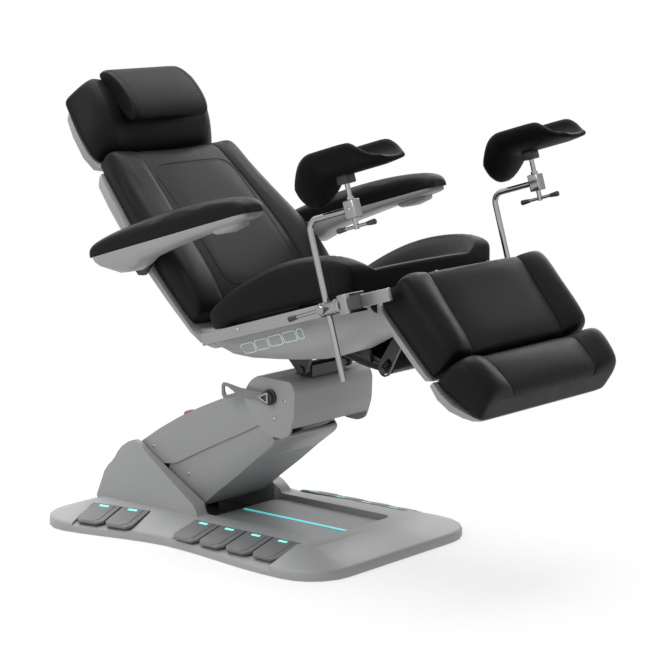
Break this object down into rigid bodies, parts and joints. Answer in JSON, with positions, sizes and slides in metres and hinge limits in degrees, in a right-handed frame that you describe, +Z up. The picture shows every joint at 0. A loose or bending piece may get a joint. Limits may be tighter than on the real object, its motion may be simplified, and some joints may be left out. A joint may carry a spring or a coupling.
{
  "type": "gynecological examination chair",
  "caption": "Powered gynecological examination chair with lifting column, reclining back, raising leg rest, stirrups with knee pads, armrests and foot keys.",
  "frame": {"origin": "on the floor under the middle of the base", "axes": "+Z up, +Y towards the head end, +X towards the patient's left"},
  "size_m": [0.9424, 1.5415, 1.293],
  "materials": {
    "shell_grey": "satin moulded plastic",
    "key_grey": "matt moulded plastic",
    "upholstery": "satin black leatherette with seams",
    "pad_black": "moulded black foam skin",
    "black": "satin black paint",
    "steel": "satin",
    "lever_grey": "satin grey paint",
    "rail_metal": "satin anodised",
    "chrome": "polished",
    "red": "glossy",
    "light": "frosted light strip"
  },
  "bodies": {
    "base": {"base_cover": "shell_grey", "base_frame": "steel", "lift_motor": "black", "tray_light": "light"},
    "upper_lift": {"upper_arm": "steel", "upper_arm_cover": "shell_grey"},
    "stop_button": {"stop_button": "red"},
    "lower_lift": {"lower_arm": "steel", "lower_arm_cover": "shell_grey"},
    "head": {"head_frame": "steel", "head_housing": "shell_grey"},
    "release_lever": {"release_lever": "lever_grey"},
    "seat": {"seat_frame": "steel", "seat_pan": "shell_grey", "rail_left": "rail_metal", "rail_right": "rail_metal", "seat_cushion": "upholstery"},
    "back": {"back_shell": "shell_grey", "back_cushion": "upholstery", "arm_bracket_left": "black", "arm_bracket_right": "black"},
    "headrest_stay": {"headrest_bracket": "steel"},
    "headrest": {"headrest_shell": "shell_grey", "headrest_cushion": "upholstery", "headrest_pillow": "upholstery"},
    "leg": {"leg_frame": "steel", "leg_shell": "shell_grey", "leg_cushion": "upholstery"},
    "push_rod": {"leg_push_rod": "black"},
    "foot": {"foot_slide": "steel", "foot_shell": "shell_grey", "foot_cushion": "upholstery"},
    "pedal_left_1": {"pedal_left_1": "key_grey"},
    "pedal_left_2": {"pedal_left_2": "key_grey"},
    "pedal_left_3": {"pedal_left_3": "key_grey"},
    "pedal_left_4": {"pedal_left_4": "key_grey"},
    "pedal_left_5": {"pedal_left_5": "key_grey"},
    "pedal_left_6": {"pedal_left_6": "key_grey"},
    "arm_left": {"arm_shell_left": "shell_grey", "arm_pad_left": "upholstery"},
    "clamp_left": {"rail_clamp_left": "chrome"},
    "clamp_lever_left": {"clamp_lever_left": "chrome"},
    "post_left": {"support_post_left": "chrome", "pad_clamp_left": "chrome"},
    "tee_left": {"tee_handle_left": "chrome"},
    "knee_pad_left": {"leg_pad_left": "pad_black"},
    "pedal_right_1": {"pedal_right_1": "key_grey"},
    "pedal_right_2": {"pedal_right_2": "key_grey"},
    "pedal_right_3": {"pedal_right_3": "key_grey"},
    "pedal_right_4": {"pedal_right_4": "key_grey"},
    "pedal_right_5": {"pedal_right_5": "key_grey"},
    "pedal_right_6": {"pedal_right_6": "key_grey"},
    "arm_right": {"arm_shell_right": "shell_grey", "arm_pad_right": "upholstery"},
    "clamp_right": {"rail_clamp_right": "chrome"},
    "clamp_lever_right": {"clamp_lever_right": "chrome"},
    "post_right": {"support_post_right": "chrome", "pad_clamp_right": "chrome"},
    "tee_right": {"tee_handle_right": "chrome"},
    "knee_pad_right": {"leg_pad_right": "pad_black"}
  },
  "joints": [
    {"name": "lift", "type": "hinge", "parent": "base", "child": "upper_lift", "pos_m": [0, 0.272, 0.221], "axis": [-1, 0, 0], "range_deg": [-18, 22]},
    {"name": "lower_link", "type": "hinge", "parent": "base", "child": "lower_lift", "pos_m": [0, 0.242, 0.141], "axis": [-1, 0, 0], "range_deg": [-18, 22]},
    {"name": "level", "type": "hinge", "parent": "upper_lift", "child": "head", "pos_m": [0, -0.17788, 0.42507], "axis": [-1, 0, 0], "range_deg": [-22, 18]},
    {"name": "stop_press", "type": "slide", "parent": "upper_lift", "child": "stop_button", "axis": [0, -0.2823, -0.9593], "range_m": [0, 0.004], "stiffness_N_per_m": 900, "springref_m": -0.002},
    {"name": "release", "type": "hinge", "parent": "head", "child": "release_lever", "pos_m": [-0.17, -0.19788, 0.43007], "axis": [1, 0, 0], "range_deg": [-15, 15]},
    {"name": "seat_tilt", "type": "hinge", "parent": "head", "child": "seat", "pos_m": [0, -0.24988, 0.50007], "axis": [1, 0, 0], "range_deg": [-10, 16.5]},
    {"name": "back_recline", "type": "hinge", "parent": "seat", "child": "back", "pos_m": [0, -0.09396, 0.58634], "axis": [-1, 0, 0], "range_deg": [-10, 45]},
    {"name": "headrest_slide", "type": "slide", "parent": "back", "child": "headrest_stay", "axis": [0, 0.7071, 0.7071], "range_m": [0, 0.06]},
    {"name": "headrest_tilt", "type": "hinge", "parent": "headrest_stay", "child": "headrest", "pos_m": [0, 0.38476, 1.00424], "axis": [1, 0, 0], "range_deg": [-25, 15]},
    {"name": "leg_raise", "type": "hinge", "parent": "seat", "child": "leg", "pos_m": [0, -0.71272, 0.80717], "axis": [-1, 0, 0], "range_deg": [0, 45]},
    {"name": "leg_push", "type": "slide", "parent": "seat", "child": "push_rod", "axis": [0, -0.9788, -0.2046], "range_m": [0, 0.2573]},
    {"name": "foot_extend", "type": "slide", "parent": "leg", "child": "foot", "axis": [0, -0.7009, -0.7132], "range_m": [0, 0.12]},
    {"name": "press_left_1", "type": "hinge", "parent": "base", "child": "pedal_left_1", "pos_m": [0.222, -0.015, 0.0595], "axis": [0, 1, 0], "range_deg": [0, 3], "stiffness_Nm_per_rad": 12, "springref_deg": -1.72},
    {"name": "press_left_2", "type": "hinge", "parent": "base", "child": "pedal_left_2", "pos_m": [0.222, -0.112, 0.0595], "axis": [0, 1, 0], "range_deg": [0, 3], "stiffness_Nm_per_rad": 12, "springref_deg": -1.72},
    {"name": "press_left_3", "type": "hinge", "parent": "base", "child": "pedal_left_3", "pos_m": [0.222, -0.209, 0.0595], "axis": [0, 1, 0], "range_deg": [0, 3], "stiffness_Nm_per_rad": 12, "springref_deg": -1.72},
    {"name": "press_left_4", "type": "hinge", "parent": "base", "child": "pedal_left_4", "pos_m": [0.222, -0.306, 0.0595], "axis": [0, 1, 0], "range_deg": [0, 3], "stiffness_Nm_per_rad": 12, "springref_deg": -1.72},
    {"name": "press_left_5", "type": "hinge", "parent": "base", "child": "pedal_left_5", "pos_m": [0.26025, 0.33761, 0.0595], "axis": [0.1908, 0.9816, 0], "range_deg": [0, 3], "stiffness_Nm_per_rad": 12, "springref_deg": -1.72},
    {"name": "press_left_6", "type": "hinge", "parent": "base", "child": "pedal_left_6", "pos_m": [0.24175, 0.24239, 0.0595], "axis": [0.1908, 0.9816, 0], "range_deg": [0, 3], "stiffness_Nm_per_rad": 12, "springref_deg": -1.72},
    {"name": "arm_fold_left", "type": "hinge", "parent": "back", "child": "arm_left", "pos_m": [0.386, 0.11959, 0.79989], "axis": [-1, 0, 0], "range_deg": [0, 80]},
    {"name": "clamp_slide_left", "type": "slide", "parent": "seat", "child": "clamp_left", "axis": [0, 0.9588, -0.284], "range_m": [-0.05, 0.03]},
    {"name": "clamp_turn_left", "type": "hinge", "parent": "clamp_left", "child": "clamp_lever_left", "pos_m": [0.392, -0.58917, 0.7419], "axis": [1, 0, 0], "range_deg": [-40, 40]},
    {"name": "post_slide_left", "type": "slide", "parent": "clamp_left", "child": "post_left", "axis": [0, 0.284, 0.9588], "range_m": [-0.06, 0.05]},
    {"name": "tee_turn_left", "type": "hinge", "parent": "post_left", "child": "tee_left", "pos_m": [0.392, -0.66951, 0.99879], "axis": [0, 0.284, 0.9588], "range_deg": [-90, 90]},
    {"name": "pad_turn_left", "type": "hinge", "parent": "post_left", "child": "knee_pad_left", "pos_m": [0.392, -0.65531, 1.04674], "axis": [0, 0.284, 0.9588], "range_deg": [-30, 30]},
    {"name": "press_right_1", "type": "hinge", "parent": "base", "child": "pedal_right_1", "pos_m": [-0.222, -0.015, 0.0595], "axis": [0, -1, 0], "range_deg": [0, 3], "stiffness_Nm_per_rad": 12, "springref_deg": -1.72},
    {"name": "press_right_2", "type": "hinge", "parent": "base", "child": "pedal_right_2", "pos_m": [-0.222, -0.112, 0.0595], "axis": [0, -1, 0], "range_deg": [0, 3], "stiffness_Nm_per_rad": 12, "springref_deg": -1.72},
    {"name": "press_right_3", "type": "hinge", "parent": "base", "child": "pedal_right_3", "pos_m": [-0.222, -0.209, 0.0595], "axis": [0, -1, 0], "range_deg": [0, 3], "stiffness_Nm_per_rad": 12, "springref_deg": -1.72},
    {"name": "press_right_4", "type": "hinge", "parent": "base", "child": "pedal_right_4", "pos_m": [-0.222, -0.306, 0.0595], "axis": [0, -1, 0], "range_deg": [0, 3], "stiffness_Nm_per_rad": 12, "springref_deg": -1.72},
    {"name": "press_right_5", "type": "hinge", "parent": "base", "child": "pedal_right_5", "pos_m": [-0.26025, 0.33761, 0.0595], "axis": [0.1908, -0.9816, 0], "range_deg": [0, 3], "stiffness_Nm_per_rad": 12, "springref_deg": -1.72},
    {"name": "press_right_6", "type": "hinge", "parent": "base", "child": "pedal_right_6", "pos_m": [-0.24175, 0.24239, 0.0595], "axis": [0.1908, -0.9816, 0], "range_deg": [0, 3], "stiffness_Nm_per_rad": 12, "springref_deg": -1.72},
    {"name": "arm_fold_right", "type": "hinge", "parent": "back", "child": "arm_right", "pos_m": [-0.386, 0.11959, 0.79989], "axis": [-1, 0, 0], "range_deg": [0, 80]},
    {"name": "clamp_slide_right", "type": "slide", "parent": "seat", "child": "clamp_right", "axis": [0, 0.9588, -0.284], "range_m": [-0.05, 0.03]},
    {"name": "clamp_turn_right", "type": "hinge", "parent": "clamp_right", "child": "clamp_lever_right", "pos_m": [-0.392, -0.58917, 0.7419], "axis": [1, 0, 0], "range_deg": [-40, 40]},
    {"name": "post_slide_right", "type": "slide", "parent": "clamp_right", "child": "post_right", "axis": [0, 0.284, 0.9588], "range_m": [-0.06, 0.05]},
    {"name": "tee_turn_right", "type": "hinge", "parent": "post_right", "child": "tee_right", "pos_m": [-0.392, -0.66951, 0.99879], "axis": [0, 0.284, 0.9588], "range_deg": [-90, 90]},
    {"name": "pad_turn_right", "type": "hinge", "parent": "post_right", "child": "knee_pad_right", "pos_m": [-0.392, -0.65531, 1.04674], "axis": [0, 0.284, 0.9588], "range_deg": [-30, 30]}
  ],
  "couplings": [
    {"joint": "lower_link", "follows": "lift", "ratio": 1},
    {"joint": "level", "follows": "lift", "ratio": -1},
    {"joint": "leg_push", "follows": "leg_raise", "m_per_rad": 0.32692}
  ]
}
